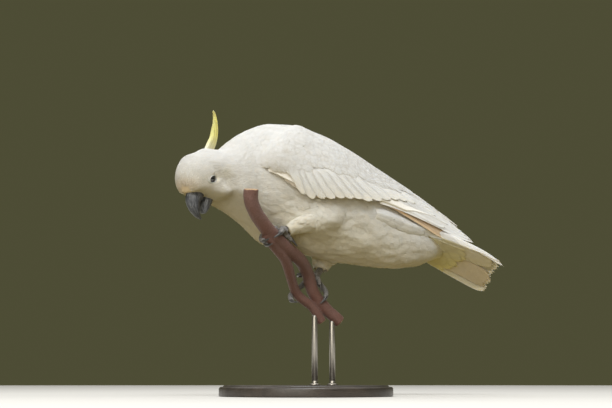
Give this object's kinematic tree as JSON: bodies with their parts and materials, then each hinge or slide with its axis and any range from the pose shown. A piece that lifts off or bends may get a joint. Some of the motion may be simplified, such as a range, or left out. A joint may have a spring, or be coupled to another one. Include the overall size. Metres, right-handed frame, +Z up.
{
  "type": "sulphur-crested cockatoo",
  "caption": "Life-size still model of a white cockatoo with a yellow crest, leaning forward on a cut forked branch held by a round display stand.",
  "frame": {"origin": "middle of the stand base's underside", "axes": "-X the way the body faces, -Y the bird's left, +Z up"},
  "size_m": [0.4791, 0.23, 0.3754],
  "materials": {
    "plumage": "white feathers, soft and matte",
    "crest_feathers": "pale yellow feathers",
    "bill_horn": "dark grey horn with a dusty bloom",
    "eye_surface": "wet, nearly black",
    "foot_skin": "grey scaly skin",
    "claw_horn": "dark horn",
    "bark": "smooth reddish-brown bark",
    "stand_metal": "dark brushed rod",
    "stand_base": "dark satin wood"
  },
  "bodies": {
    "root": {"head": "plumage", "neck": "plumage", "trunk": "plumage", "rump": "plumage", "tail": "plumage", "wing_left_coverts": "plumage", "wing_left_flight": "plumage", "wing_right_coverts": "plumage", "wing_right_flight": "plumage", "thigh_left": "plumage", "thigh_right": "plumage", "crest": "crest_feathers", "bill_upper": "bill_horn", "bill_lower": "bill_horn", "eye_left": "eye_surface", "eye_right": "eye_surface", "foot_left": "foot_skin", "foot_right": "foot_skin", "claw_left_inner": "claw_horn", "claw_left_middle": "claw_horn", "claw_left_outer": "claw_horn", "claw_left_rear": "claw_horn", "claw_right_inner": "claw_horn", "claw_right_middle": "claw_horn", "claw_right_outer": "claw_horn", "claw_right_rear": "claw_horn", "perch_branch": "bark", "stand_base": "stand_base", "stand_rod_1": "stand_metal", "stand_rod_2": "stand_metal"}
  },
  "joints": []
}
